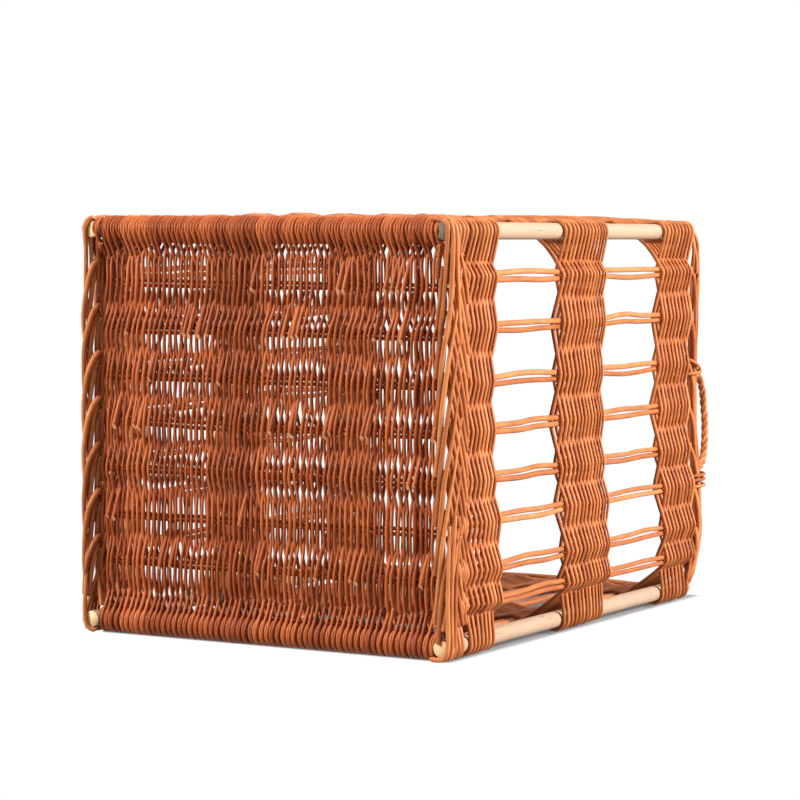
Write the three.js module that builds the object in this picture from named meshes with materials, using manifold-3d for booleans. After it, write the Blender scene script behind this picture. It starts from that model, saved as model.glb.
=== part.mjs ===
// Wicker baguette basket, lying on one side wall: the woven base faces -Y and the open mouth +Y.
// Four peeled posts run from the base to the rim. Pairs of stakes stand between them, and three bands of
// weave per wall pass in front of and behind the pairs. Millimetres, +Z up.
import * as THREE from 'three';
import { mergeVertices } from 'three/addons/utils/BufferGeometryUtils.js';
import Module from 'manifold-3d';

const wasm = await Module();
wasm.setup();

// Overall frame
const postPitchX = 382;
const postPitchZ = 374;
const basketDepth = 550;
const postDiameter = 16;
const baseStickDiameter = 20;
const clearance = 0.3;

// Stakes: willow rods in pairs, seven pairs on the base and on each wall, outside the post centres
// One more pair beside the lower right post makes the uprights an odd number, so that one weaver
// can go round and round, in front of and behind them in turn
// The two rods of a pair lie against each other and are pressed in a little where they meet
const stakePairs = 7;
const addedPairHeight = 36;
const stakeLineOut = 5;
const stakeDiameter = 5.4;
const stakePairBite = 0.3;
const lowestRowHeight = 65;
const highestRowDrop = 42;
const lowestBaseRow = 57;
const highestBaseDrop = 51;

// Weave: each strand is a slew of willow weavers worked side by side as one
const weaveThickness = 4.2;
const strandGap = 0.5;
const strandsPerBand = 7;
const baseStrands = 28;
const turnLand = 6;

// Bands along the depth, measured from the post ends at the base
const lowerBandEnd = 92;
const middleBandStart = 218;
const middleBandEnd = 325;
const rimBandStart = 450;

// Borders and handles
const twistedRods = 3;
const baseBorderDiameter = 16;
const rimRodDiameter = 6.4;
const handleRise = 44;
const handleRopeDiameter = 8;
const handleLay = 31;
const handleLowerPair = 2;
const handleSpannedPairs = 3;
const lashingWidth = 9;
const lashingThickness = 3;

// Facets
const postSides = 16;
const stakeArcSteps = 6;
const twistFlankDegrees = 72;
const twistSteps = 5;
const postTurnSteps = 2;
const stickTurnSteps = 6;

// Derived places
const postRadius = postDiameter / 2;
const stakeRadius = stakeDiameter / 2;
const stakePairPitch = stakeDiameter - stakePairBite;
const wrapReach = postRadius + clearance + weaveThickness;
const stickReach = baseStickDiameter / 2 + clearance + weaveThickness;
const baseBorderRadius = baseBorderDiameter / 2;
const basePlane = Math.max(stickReach, baseBorderRadius) + clearance;
const borderPlane = baseBorderRadius + clearance;
const rimRodRadius = rimRodDiameter / 2;
const rimRodRise = rimRodDiameter * Math.sin(Math.PI / 3);
const rimHeight = rimRodRise + rimRodDiameter;
const rimUnderside = basketDepth - rimHeight;
const bandStart = basePlane + stickReach + clearance;
const rimBandEnd = rimUnderside - lashingThickness - 2 * clearance;
const bands = {
  lower: [bandStart, lowerBandEnd],
  middle: [middleBandStart, middleBandEnd],
  rim: [rimBandStart, rimBandEnd],
};

// Materials, one per mesh
const willow = { color: 0xb8693a, roughness: 0.55 };
const stainedRod = { color: 0xc4733f, roughness: 0.5 };
const peeledWood = { color: 0xe6c793, roughness: 0.7 };

function piece(name, geometry, look) {
  const mesh = new THREE.Mesh(geometry, new THREE.MeshStandardMaterial({ ...look, metalness: 0 }));
  mesh.name = name;
  return mesh;
}

// Joining of closed meshes
function solidOf(geometry) {
  const bare = geometry.clone();
  bare.deleteAttribute('normal');
  bare.deleteAttribute('uv');
  const merged = mergeVertices(bare, 1e-4);
  const vertProperties = new Float32Array(merged.attributes.position.array);
  const triVerts = new Uint32Array(merged.index.array);
  return new wasm.Manifold(new wasm.Mesh({ numProp: 3, vertProperties, triVerts }));
}

function joined(geometries) {
  const mesh = geometries.map(solidOf).reduce((whole, next) => whole.add(next)).getMesh();
  const geometry = new THREE.BufferGeometry();
  geometry.setAttribute('position', new THREE.BufferAttribute(new Float32Array(mesh.vertProperties), 3));
  geometry.setIndex(new THREE.BufferAttribute(new Uint32Array(mesh.triVerts), 1));
  return geometry;
}

function extruded(shape, length, start) {
  const settings = { depth: length, bevelEnabled: false, curveSegments: stakeArcSteps };
  return new THREE.ExtrudeGeometry(shape, settings).translate(0, 0, start);
}

// Loft through rings of equal point counts, capped at both ends or closed on itself
function loft(rings, closed) {
  const count = rings[0].length;
  const positions = rings.flat().flatMap((point) => point.toArray());
  const index = [];
  const last = closed ? rings.length : rings.length - 1;
  for (let ring = 0; ring < last; ring += 1) {
    const here = ring * count;
    const there = ((ring + 1) % rings.length) * count;
    for (let k = 0; k < count; k += 1) {
      const next = (k + 1) % count;
      index.push(here + k, here + next, there + next, here + k, there + next, there + k);
    }
  }
  const geometry = new THREE.BufferGeometry();
  if (!closed) {
    const first = positions.length / 3;
    const centre = (ring) => ring.reduce((sum, p) => sum.add(p), new THREE.Vector3()).divideScalar(count);
    positions.push(...centre(rings[0]).toArray(), ...centre(rings[rings.length - 1]).toArray());
    const end = (rings.length - 1) * count;
    for (let k = 0; k < count; k += 1) {
      const next = (k + 1) % count;
      index.push(first, next, k, first + 1, end + k, end + next);
    }
  }
  geometry.setAttribute('position', new THREE.BufferAttribute(new Float32Array(positions), 3));
  geometry.setIndex(index);
  return geometry;
}

// Outline of rods twisted together, turned by an angle: the crest and both flanks of each rod
function ropeSection(diameter, turn) {
  const rodRadius = diameter / 2 / (1 + 1 / Math.sin(Math.PI / twistedRods));
  const orbit = diameter / 2 - rodRadius;
  const flank = THREE.MathUtils.degToRad(twistFlankDegrees);
  const points = [];
  for (let rod = 0; rod < twistedRods; rod += 1) {
    const angle = turn + (2 * Math.PI * rod) / twistedRods;
    for (const swing of [-flank, 0, flank]) {
      const x = orbit * Math.cos(angle) + rodRadius * Math.cos(angle + swing);
      const y = orbit * Math.sin(angle) + rodRadius * Math.sin(angle + swing);
      points.push(new THREE.Vector2(x, y));
    }
  }
  return points;
}

// Arc drawn outside its circle: the flats touch the radius and the corners lie between them
function flatsArc(radius, sweep, steps) {
  const step = sweep / steps;
  const corner = radius / Math.cos(step / 2);
  return Array.from({ length: steps }, (_, k) => {
    const angle = (k + 0.5) * step;
    return new THREE.Vector2(corner * Math.sin(angle), corner * Math.cos(angle));
  });
}

// Section of a stake pair: two rods grown into one outline, side by side along the wall
function stakeSection(place, out) {
  const half = stakePairPitch / 2;
  const neck = Math.PI - Math.acos(half / stakeRadius);
  const shape = new THREE.Shape();
  shape.absarc(place + half, out, stakeRadius, -neck, neck, false);
  shape.absarc(place - half, out, stakeRadius, Math.PI - neck, Math.PI + neck, false);
  return shape;
}

// Height of a strand's middle over a stake pair, so that its sloping runs clear both rods
// The slope and the height depend on each other, so they are settled in a few passes
const crestPasses = 6;
function crestHeight(shortestRun, turnHeight) {
  const roomy = stakeRadius + clearance;
  let slope = 0;
  let crest = roomy;
  for (let pass = 0; pass < crestPasses; pass += 1) {
    slope = (crest + weaveThickness / 2 + turnHeight) / shortestRun;
    crest = roomy * Math.hypot(1, slope) + (stakePairPitch / 2) * slope;
  }
  return crest + weaveThickness / 2;
}

// Places of a whole number of strands side by side from start to end, with a gap between them
function strandPlaces(start, end, strands) {
  const count = Math.max(1, Math.round(strands));
  const pitch = (end - start) / count;
  return Array.from({ length: count }, (_, k) => ({
    from: start + k * pitch + strandGap / 2,
    width: pitch - strandGap,
  }));
}

// One strand: a strip along the wall that swings to each side of the pairs in turn
function strandShape(rows, length, firstSide, startHeight, endHeight, crest, line) {
  const middle = [
    [turnLand / 2, startHeight],
    [turnLand, startHeight],
    ...rows.map((row, k) => [row, line + firstSide * (k % 2 ? -crest : crest)]),
    [length - turnLand, endHeight],
    [length - turnLand / 2, endHeight],
  ];
  const near = middle.map(([s, n]) => new THREE.Vector2(s, n - weaveThickness / 2));
  const far = middle.map(([s, n]) => new THREE.Vector2(s, n + weaveThickness / 2));
  return new THREE.Shape([...near, ...far.reverse()]);
}

// Weave that closes over the outside of a corner post, cut on the corner's diagonal
function postTurn(post, direction) {
  const inner = postRadius + clearance;
  const eighth = Math.PI / 4;
  const corner = Math.cos(eighth / postTurnSteps / 2);
  const along = Math.SQRT1_2;
  const mitre = (radius) => new THREE.Vector2(
    radius * along - (clearance / 2) * along,
    radius * along + (clearance / 2) * along,
  );
  const outline = [
    new THREE.Vector2(-turnLand, inner),
    ...flatsArc(inner, eighth, postTurnSteps),
    mitre(inner / corner),
    mitre(wrapReach / corner),
    ...flatsArc(wrapReach, eighth, postTurnSteps).reverse(),
    new THREE.Vector2(-turnLand, wrapReach),
  ];
  const placed = outline.map((point) => new THREE.Vector2(post + direction * point.x, point.y));
  return new THREE.Shape(placed);
}

// Weave that turns right round a base stick, from the front of the base to its back
function stickTurn(stick, direction) {
  const inner = baseStickDiameter / 2 + clearance;
  const outline = [
    new THREE.Vector2(-turnLand, inner),
    ...flatsArc(inner, Math.PI, stickTurnSteps),
    new THREE.Vector2(-turnLand, -inner),
    new THREE.Vector2(-turnLand, -stickReach),
    ...flatsArc(stickReach, Math.PI, stickTurnSteps).reverse(),
    new THREE.Vector2(-turnLand, stickReach),
  ];
  const placed = outline.map((point) => new THREE.Vector2(stick + direction * point.x, point.y));
  return new THREE.Shape(placed);
}

function shortestRun(rows, length) {
  const stops = [turnLand, ...rows, length - turnLand];
  return Math.min(...stops.slice(1).map((stop, k) => stop - stops[k]));
}

// A band of one wall: strands side by side, joined where they close over the two posts
function bandPanel(rows, length, [start, end]) {
  const turnHeight = postRadius + clearance + weaveThickness / 2;
  const crest = crestHeight(shortestRun(rows, length), turnHeight - stakeLineOut);
  const solids = [postTurn(0, -1), postTurn(length, 1)].map((turn) => extruded(turn, end - start, start));
  strandPlaces(start, end, strandsPerBand).forEach(({ from, width }, k) => {
    const side = k % 2 ? 1 : -1;
    const shape = strandShape(rows, length, side, turnHeight, turnHeight, crest, stakeLineOut);
    solids.push(extruded(shape, width, from));
  });
  return joined(solids);
}

// The base: strands that swing round the base's pairs and turn round the two base sticks
function basePanel(rows, length, across) {
  const turnHeight = baseStickDiameter / 2 + clearance + weaveThickness / 2;
  const crest = crestHeight(shortestRun(rows, length), turnHeight);
  const solids = [stickTurn(0, -1), stickTurn(length, 1)].map((turn) => extruded(turn, across, -across / 2));
  strandPlaces(-across / 2, across / 2, baseStrands).forEach(({ from, width }, k) => {
    const side = k % 2 ? 1 : -1;
    const lastSide = rows.length % 2 ? -side : side;
    const shape = strandShape(rows, length, side, -side * turnHeight, lastSide * turnHeight, crest, 0);
    solids.push(extruded(shape, width, from));
  });
  return joined(solids);
}

// Twisted handle: a bow of three rods over the rim, lashed round the rim border inside two pairs
function handle(rows, firstPair) {
  const besidePair = stakePairPitch / 2 + stakeRadius + clearance + lashingWidth / 2;
  const lastPair = firstPair + handleSpannedPairs;
  const ends = [rows[firstPair - 1] + besidePair, rows[lastPair - 1] - besidePair];
  const middle = (ends[0] + ends[1]) / 2;
  const halfSpan = (ends[1] - ends[0]) / 2;
  const lift = clearance + lashingThickness / 2;
  const bowRise = handleRise - handleRopeDiameter / 2 - lift;
  const bowLength = (Math.PI * Math.hypot(halfSpan, bowRise)) / Math.SQRT2;
  const steps = Math.ceil((bowLength / handleLay) * twistSteps);
  const rings = [];
  for (let k = 0; k <= steps; k += 1) {
    const sweep = (Math.PI * k) / steps;
    const turn = (2 * Math.PI * bowLength * k) / (handleLay * steps);
    const run = new THREE.Vector2(halfSpan * Math.sin(sweep), bowRise * Math.cos(sweep)).normalize();
    const centre = [middle - halfSpan * Math.cos(sweep), basketDepth + lift + bowRise * Math.sin(sweep)];
    const section = ropeSection(handleRopeDiameter, turn);
    rings.push(section.map(({ x, y }) => (
      new THREE.Vector3(centre[0] + run.y * x, y, centre[1] - run.x * x)
    )));
  }
  return joined([loft(rings, false), ...ends.map(lashing)]);
}

// Lashing: willow bound round the rim border, as wide as its turns
function lashing(place) {
  const innerHalf = rimRodDiameter + clearance;
  const frame = (grow) => {
    const bottom = rimUnderside - clearance - grow;
    const top = basketDepth + clearance + grow;
    const half = innerHalf + grow;
    const corners = [[bottom, -half], [top, -half], [top, half], [bottom, half]];
    return corners.map(([along, out]) => new THREE.Vector2(along, out));
  };
  const shape = new THREE.Shape(frame(lashingThickness));
  shape.holes.push(new THREE.Path(frame(0)));
  const geometry = extruded(shape, lashingWidth, -lashingWidth / 2);
  return geometry.rotateY(-Math.PI / 2).translate(place, 0, 0);
}

// Rim border: three rods round the mouth, two side by side and one over them, mitred at the corners
function rimBorder() {
  const rod = (across, up, angles) => angles.map((degrees) => {
    const angle = THREE.MathUtils.degToRad(degrees);
    return [across + rimRodRadius * Math.cos(angle), up + rimRodRadius * Math.sin(angle)];
  });
  const section = [
    ...rod(rimRodRadius, rimRodRadius, [-150, -90, -30, 30, 90]),
    ...rod(0, rimRodRadius + rimRodRise, [0, 60, 120, 180]),
    ...rod(-rimRodRadius, rimRodRadius, [90, 150, 210, 270, 330]),
  ];
  const corners = [[1, -1], [1, 1], [-1, 1], [-1, -1]];
  const rings = corners.map(([x, z]) => section.map(([across, up]) => new THREE.Vector3(
    x * (postPitchX / 2 + across),
    rimUnderside + up,
    centreHeight + z * (postPitchZ / 2 + across),
  )));
  return loft(rings, true);
}

// Base border: three rods twisted up each side edge of the base, from post to post
function baseBorder() {
  const length = postPitchZ - postDiameter - 2 * clearance;
  const lay = twistedRods * (sideRows[1] - sideRows[0]);
  const steps = Math.ceil((length / lay) * twistSteps);
  const rings = [];
  for (let k = 0; k <= steps; k += 1) {
    const along = (length * k) / steps;
    const section = ropeSection(baseBorderDiameter, (2 * Math.PI * along) / lay);
    rings.push(section.map(({ x, y }) => new THREE.Vector3(x, y, along - length / 2)));
  }
  return loft(rings, false);
}

// Rows of stake pairs along a wall, from its first post
function rowPlaces(length, first, lastDrop) {
  const pitch = (length - first - lastDrop) / (stakePairs - 1);
  return Array.from({ length: stakePairs }, (_, k) => first + k * pitch);
}

const centreHeight = Math.max(wrapReach, stickReach) + postPitchZ / 2;
const baseRows = rowPlaces(postPitchZ, lowestBaseRow, highestBaseDrop);
const sideRows = rowPlaces(postPitchZ, lowestRowHeight, highestRowDrop);
const sideRowsDown = rowPlaces(postPitchZ, highestRowDrop, lowestRowHeight);
const rightRows = [addedPairHeight, ...sideRows];
const evenPitch = postPitchX / (stakePairs + 1);
const evenRows = rowPlaces(postPitchX, evenPitch, evenPitch);
const behindBorder = borderPlane + baseBorderRadius + clearance;
const stakeEnd = rimUnderside - clearance;

const basket = new THREE.Group();
basket.position.y = -(basketDepth + handleRise) / 2;

// Corner posts
for (const [side, x] of [['left', -1], ['right', 1]]) {
  for (const [level, z] of [['bottom', -1], ['top', 1]]) {
    const geometry = new THREE.CylinderGeometry(postRadius, postRadius, stakeEnd, postSides);
    const post = piece(`${level}_${side}_post`, geometry, peeledWood);
    post.position.set((x * postPitchX) / 2, stakeEnd / 2, centreHeight + (z * postPitchZ) / 2);
    basket.add(post);
  }
}

// A frame whose x runs along the wall, y out of it and z along the basket's depth or width
function panelFrame(along, outward, across) {
  const frame = new THREE.Group();
  frame.quaternion.setFromRotationMatrix(new THREE.Matrix4().makeBasis(along, outward, across));
  return frame;
}

const axisX = new THREE.Vector3(1, 0, 0);
const axisY = new THREE.Vector3(0, 1, 0);
const axisZ = new THREE.Vector3(0, 0, 1);

// Base: sticks, stake pairs, weave and the two twisted side borders
const base = panelFrame(axisZ, axisY.clone().negate(), axisX);
base.position.set(0, basePlane, centreHeight - postPitchZ / 2);
const betweenBorders = postPitchX - baseBorderDiameter - 2 * clearance;
const betweenPosts = postPitchX - postDiameter - 2 * clearance;
const stickRadius = baseStickDiameter / 2;
for (const [level, s] of [['bottom', 0], ['top', postPitchZ]]) {
  const geometry = new THREE.CylinderGeometry(stickRadius, stickRadius, betweenPosts, postSides);
  const stick = piece(`base_${level}_stick`, geometry.rotateX(Math.PI / 2), peeledWood);
  stick.position.x = s;
  base.add(stick);
}
baseRows.forEach((row, k) => {
  const geometry = extruded(stakeSection(row, 0), betweenBorders, -betweenBorders / 2);
  base.add(piece(`base_stakes_${k + 1}`, geometry, stainedRod));
});
const baseWidth = Math.min(betweenBorders, betweenPosts);
base.add(piece('base_weave', basePanel(baseRows, postPitchZ, baseWidth), willow));
basket.add(base);
for (const [side, x] of [['left', -1], ['right', 1]]) {
  const border = piece(`base_${side}_border`, baseBorder(), stainedRod);
  border.position.set((x * postPitchX) / 2, borderPlane, centreHeight);
  basket.add(border);
}

// Walls: each is turned a quarter round the basket's long axis from the one before
const sideWall = { length: postPitchZ, reach: postPitchX / 2, stakeStart: behindBorder };
const flatWall = { length: postPitchX, reach: postPitchZ / 2, stakeStart: bandStart, rows: evenRows };
const handlePairDown = stakePairs + 1 - handleLowerPair - handleSpannedPairs;
const walls = [
  { ...sideWall, name: 'right', rows: rightRows, handlePair: handleLowerPair + 1 },
  { ...flatWall, name: 'top' },
  { ...sideWall, name: 'left', rows: sideRowsDown, handlePair: handlePairDown },
  { ...flatWall, name: 'bottom' },
];
walls.forEach(({ name, length, reach, rows, stakeStart, handlePair }, quarter) => {
  const turned = new THREE.Group();
  turned.position.z = centreHeight;
  turned.rotation.y = (-quarter * Math.PI) / 2;
  const wall = panelFrame(axisZ, axisX, axisY);
  wall.position.set(reach, 0, -length / 2);
  rows.forEach((row, k) => {
    const geometry = extruded(stakeSection(row, stakeLineOut), stakeEnd - stakeStart, stakeStart);
    wall.add(piece(`${name}_stakes_${k + 1}`, geometry, stainedRod));
  });
  for (const [band, span] of Object.entries(bands)) {
    wall.add(piece(`${name}_${band}_band`, bandPanel(rows, length, span), willow));
  }
  if (handlePair) {
    wall.add(piece(`${name}_handle`, handle(rows, handlePair), stainedRod));
  }
  turned.add(wall);
  basket.add(turned);
});

basket.add(piece('rim_border', rimBorder(), stainedRod));

export default basket;
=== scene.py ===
"""Looks of the wicker baguette basket: every willow rod of the weave is modelled on its own.

Lengths are in millimetres until a mesh is made. x runs across the base, y from the base to the mouth, z up.
"""
import math

import bpy
import numpy as np
from mathutils import Matrix, Vector


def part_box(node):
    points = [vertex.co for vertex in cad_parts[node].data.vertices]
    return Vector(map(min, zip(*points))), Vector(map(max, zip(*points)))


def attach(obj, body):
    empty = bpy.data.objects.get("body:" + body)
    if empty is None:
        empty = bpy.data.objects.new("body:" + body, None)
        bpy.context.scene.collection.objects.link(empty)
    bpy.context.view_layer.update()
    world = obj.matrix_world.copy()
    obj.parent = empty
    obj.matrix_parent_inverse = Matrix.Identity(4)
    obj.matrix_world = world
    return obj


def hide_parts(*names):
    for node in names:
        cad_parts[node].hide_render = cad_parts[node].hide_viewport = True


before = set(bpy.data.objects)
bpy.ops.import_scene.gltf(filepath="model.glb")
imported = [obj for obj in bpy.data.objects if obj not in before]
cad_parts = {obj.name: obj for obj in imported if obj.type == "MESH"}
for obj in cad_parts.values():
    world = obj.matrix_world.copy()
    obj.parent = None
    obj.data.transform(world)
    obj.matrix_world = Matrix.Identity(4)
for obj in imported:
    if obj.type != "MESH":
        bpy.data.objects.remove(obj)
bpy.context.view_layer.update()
MM = 0.001
BODY = "root"
BANDS = ("lower", "middle", "rim")
WALLS = ("right", "top", "left", "bottom")
PAIRS = {"right": 8, "top": 7, "left": 7, "bottom": 7}
BASE_PAIRS = 7

# Camera at the photograph's viewing angle: across, from the post ends and above the lower posts
CAMERA_PLACE = (1398.6, -2222.1, 372.7)
CAMERA_AZIMUTH = 29.375
CAMERA_ELEVATION = 3.384
CAMERA_ROLL = 0.288
CAMERA_LENS = 128.0
CAMERA_SENSOR = 36.0

# Rods
ROD_SIDES = 8
STAKE_RADIUS = 2.6
BASE_STAKE_RADIUS = 1.95
BASE_WEAVER_RADIUS = 1.7
GRAIN_SPREAD = 8000
SHARP_ANGLE = 62

# Bake map: height of a row in half turns of the thickest rod, spare width, and margin inside a row
BAKE_ROW = 2.3
BAKE_SPARE = 1.05
BAKE_MARGIN = 0.06

# Wall weave: courses in a band, and the weaver's radius at the band's base side and rim side
COURSES = {"lower": (16, 2.0, 1.65), "middle": (26, 2.15, 1.25), "rim": (18, 2.1, 1.9)}
LAPS_PER_WEAVER = 1.3
TURN_ANGLES = (-8, 20, 45, 70, 98)
INSIDE_REACH = 16.0
# A weaver bends this far before and after the middle of a pair
PAIR_BEND = 2.2

# Courses of the side walls right behind the base, round the posts or tucked in behind them
CORNER_COURSES = 8
CORNER_RADIUS = 2.2
CORNER_START = 3.0
CORNER_ANGLES = (118, 90, 55, 20, -8)
TUCK_ALONG = 13
TUCK_BEHIND = 7
# Between the posts they start further in and lie closer together, by this share
BETWEEN_START = 14
BETWEEN_SHARE = 0.52

# How far the pairs stand out of the line of the posts, and how far they stray along the wall
PAIR_OUT = {
    "right": (12, 13, 9, 5.5, 3, 3, 4, 5.5),
    "top": (6, 8, 9.5, 10, 9.5, 8, 6),
    "left": (6, 6, 6, 6, 6, 6, 6),
    "bottom": (5, 5, 5, 5, 5, 5, 5),
}
PAIR_STRAY = {"right": (0, 2, 0.5, -6, -6, -6.5, -1.5, 0.5)}
# Half the spacing of a pair's rods in the open rows
OPEN_SPREAD = 3.6
# Share of a pair's way out at the base, and the start and length of its growth behind the post ends
STAND_AT_BASE = 0.4
STAND_START = 12
STAND_LENGTH = 50
# Stakes of the side walls start this far behind the post ends
STAKE_START = 18

# Base weave: lean of the weavers between the rows, in quarters of their spacing, from the bottom up
BASE_WRAPS = 62
BASE_SPAN = (-189.5, 185.5)
BASE_LEAN = (0, -1, -1, -1, 1, -1, 3, 1)
WRAPS_PER_WEAVER = 2.45
WRAP_TURNS = 1.5
WRAP_STEPS = 16
SWING_PLAY = 1.05
# Start and end of the turns round the sticks, in spacings from the weaver
TOP_TURN = (-0.25, 0.5)
BOTTOM_TURN = (0.3, 0.72)
# Weavers on the face of the base keep this far from its middle at most
FACE_EDGE = 186
# Wraps past the inner edge of a post stand this far out, over its end
POST_EDGE = 184
OVER_POST = 3.5
# Thick ends of weavers on the face of the base, and where they are at each pair from the bottom up
BUTT_RADII = (2.2, 2.65)
BUTT_DROPS = (2, 5.5)
BUTT_GAP = 0.4
CUT_ENDS = {
    1: (-118, -106, -8, 55, 92, 98, 166),
    2: (-178, -171, -28),
    3: (152, 158),
    4: (-170, -147, -142, 5, 27, 64, 69, 104, 108, 178),
    5: (-130, -52),
    6: (-156, -90, -85, -74, -65, 19, 29, 34, 116, 144),
    7: (-15, 78, 84, 127, 134, 140, 146),
}


def unit(vector):
    vector = np.asarray(vector, float)
    return vector / np.linalg.norm(vector)


def node_box(node):
    low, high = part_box(node)
    return np.array(low) / MM, np.array(high) / MM


def node_centre(node):
    low, high = node_box(node)
    return (low + high) / 2


# Rods as meshes
class Rods:
    """Willow rods gathered into one mesh: tubes along paths, with a cut face at each open end."""

    def __init__(self, seed, sides=ROD_SIDES):
        self.rng = np.random.default_rng(seed)
        self.sides = sides
        self.points, self.grain, self.tint = [], [], []
        self.quads, self.caps = [], []
        self.strips = []
        self.count = 0

    def add(self, path, radius, up, closed=False, tint=None, slant=0.0):
        path = np.asarray(path, float)
        rings = len(path)
        radius = np.broadcast_to(np.asarray(radius, float), rings)
        if closed:
            run = np.roll(path, -1, 0) - np.roll(path, 1, 0)
        else:
            run = np.gradient(path, axis=0)
        run /= np.linalg.norm(run, axis=1)[:, None]
        side = np.cross(np.asarray(up, float), run)
        side /= np.linalg.norm(side, axis=1)[:, None]
        other = np.cross(run, side)
        angle = np.arange(self.sides) * 2 * math.pi / self.sides
        around = side[:, None, :] * np.cos(angle)[:, None] + other[:, None, :] * np.sin(angle)[:, None]
        skin = path[:, None, :] + radius[:, None, None] * around
        if slant and not closed:
            lean = slant * np.cos(angle)[:, None]
            skin[0] -= run[0] * radius[0] * lean
            skin[-1] += run[-1] * radius[-1] * lean
        nearest = np.vstack([path[1:], path[:1]]) if closed else path[1:]
        lengths = np.linalg.norm(nearest - path[:len(nearest)], axis=1)
        along = np.concatenate([[0], np.cumsum(lengths)])[:rings]
        section = np.stack([
            np.broadcast_to(along[:, None], (rings, self.sides)),
            radius[:, None] * np.cos(angle)[None, :],
            radius[:, None] * np.sin(angle)[None, :],
        ], axis=2)
        offset = self.rng.uniform(0, GRAIN_SPREAD, 3)
        self.points.append(skin.reshape(-1, 3))
        self.grain.append(section.reshape(-1, 3) + offset)
        if tint is None:
            tint = self.rng.uniform(0, 1)
        self.tint.append(np.full(rings * self.sides, tint))
        last = rings if closed else rings - 1
        ring = np.arange(last)[:, None] * self.sides
        ahead = ((np.arange(last) + 1) % rings)[:, None] * self.sides
        k = np.arange(self.sides)[None, :]
        turn = (k + 1) % self.sides
        quads = np.stack([ring + k, ring + turn, ahead + turn, ahead + k], axis=2).reshape(-1, 4)
        self.quads.append(quads + self.count)
        self.strips.append((lengths[:last], float(radius.mean())))
        if not closed:
            first = self.count + np.arange(self.sides)
            self.caps.append(first[::-1])
            self.caps.append(first + (rings - 1) * self.sides)
        self.count += rings * self.sides

    def bake_map(self):
        """Flat layout for baking: the rods' skins lie in rows, cut where a row is full."""
        height = BAKE_ROW * math.pi * max(radius for _, radius in self.strips)
        total = sum(lengths.sum() for lengths, _ in self.strips) + height * len(self.caps)
        width = math.sqrt(total * height) * BAKE_SPARE
        place, row = 0.0, 0
        starts, spans, rows = [], [], []
        runs = [length for lengths, _ in self.strips for length in lengths]
        for length in runs + [height] * len(self.caps):
            if place + length > width:
                place, row = 0.0, row + 1
            starts.append(place)
            spans.append(length)
            rows.append(row)
            place += length
        starts, spans, rows = np.array(starts) / width, np.array(spans) / width, np.array(rows)
        tall = 1.0 / (row + 1)
        segments = len(runs)
        edge = BAKE_MARGIN + (1 - 2 * BAKE_MARGIN) * np.arange(self.sides + 1) / self.sides
        low = np.broadcast_to(edge[:-1], (segments, self.sides))
        high = np.broadcast_to(edge[1:], (segments, self.sides))
        left = np.broadcast_to(starts[:segments, None], (segments, self.sides))
        right = left + np.broadcast_to(spans[:segments, None], (segments, self.sides))
        bottom = rows[:segments, None]
        quad = np.stack([
            np.stack([left, (bottom + low) * tall], 2),
            np.stack([left, (bottom + high) * tall], 2),
            np.stack([right, (bottom + high) * tall], 2),
            np.stack([right, (bottom + low) * tall], 2),
        ], axis=2).reshape(-1, 2)
        angle = np.arange(self.sides) * 2 * math.pi / self.sides
        disc = 0.5 + (0.5 - BAKE_MARGIN) * np.stack([np.cos(angle), np.sin(angle)], 1)
        discs = [
            np.stack([starts[i] + spans[i] * disc[:, 0], (rows[i] + disc[:, 1]) * tall], 1)
            for i in range(segments, segments + len(self.caps))
        ]
        return np.concatenate([quad] + discs)

    def build(self, name, materials, nodes):
        mesh = bpy.data.meshes.new(name)
        points = np.concatenate(self.points) * MM
        quads = np.concatenate(self.quads)
        mesh.from_pydata(points.tolist(), [], quads.tolist() + [cap.tolist() for cap in self.caps])
        for material in materials:
            mesh.materials.append(material)
        is_cap = np.arange(len(quads) + len(self.caps)) >= len(quads)
        mesh.polygons.foreach_set("use_smooth", ~is_cap)
        mesh.polygons.foreach_set("material_index", is_cap.astype(np.int32))
        grain = mesh.attributes.new("grain", "FLOAT_VECTOR", "POINT")
        grain.data.foreach_set("vector", (np.concatenate(self.grain) * MM).ravel().astype(np.float32))
        tint = mesh.attributes.new("tint", "FLOAT", "POINT")
        tint.data.foreach_set("value", np.concatenate(self.tint).astype(np.float32))
        layer = mesh.uv_layers.new(name="OFBake")
        layer.data.foreach_set("uv", self.bake_map().ravel().astype(np.float32))
        mesh.set_sharp_from_angle(angle=math.radians(SHARP_ANGLE))
        mesh.validate()
        piece = bpy.data.objects.new(name, mesh)
        bpy.context.scene.collection.objects.link(piece)
        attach(piece, BODY)
        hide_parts(*nodes)
        return piece


def smooth_path(points, steps, closed=False, short=14.0):
    """Smooth path through the points, in steps from each to the next, or fewer over a short way."""
    points = np.asarray(points, float)
    count = len(points)
    if closed:
        tangents = np.roll(points, -1, 0) - np.roll(points, 1, 0)
    else:
        tangents = np.gradient(points, axis=0)
    tangents /= np.linalg.norm(tangents, axis=1)[:, None]
    path = []
    for i in range(count if closed else count - 1):
        j = (i + 1) % count
        length = np.linalg.norm(points[j] - points[i])
        parts = steps if length > short else max(2, steps // 3)
        t = (np.arange(parts) / parts)[:, None]
        path.append(
            points[i] * (2 * t**3 - 3 * t**2 + 1) + tangents[i] * length * (t**3 - 2 * t**2 + t)
            + points[j] * (3 * t**2 - 2 * t**3) + tangents[j] * length * (t**3 - t**2)
        )
    if not closed:
        path.append(points[-1:])
    return np.concatenate(path)


def wander(rng, count, size, waves):
    """Slow random drift along a path that closes on itself."""
    turn = np.linspace(0, 2 * math.pi, count, endpoint=False)
    drift = sum(rng.normal() * np.sin(wave * turn + rng.uniform(0, 2 * math.pi)) for wave in waves)
    return size * drift / math.sqrt(len(waves))


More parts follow.
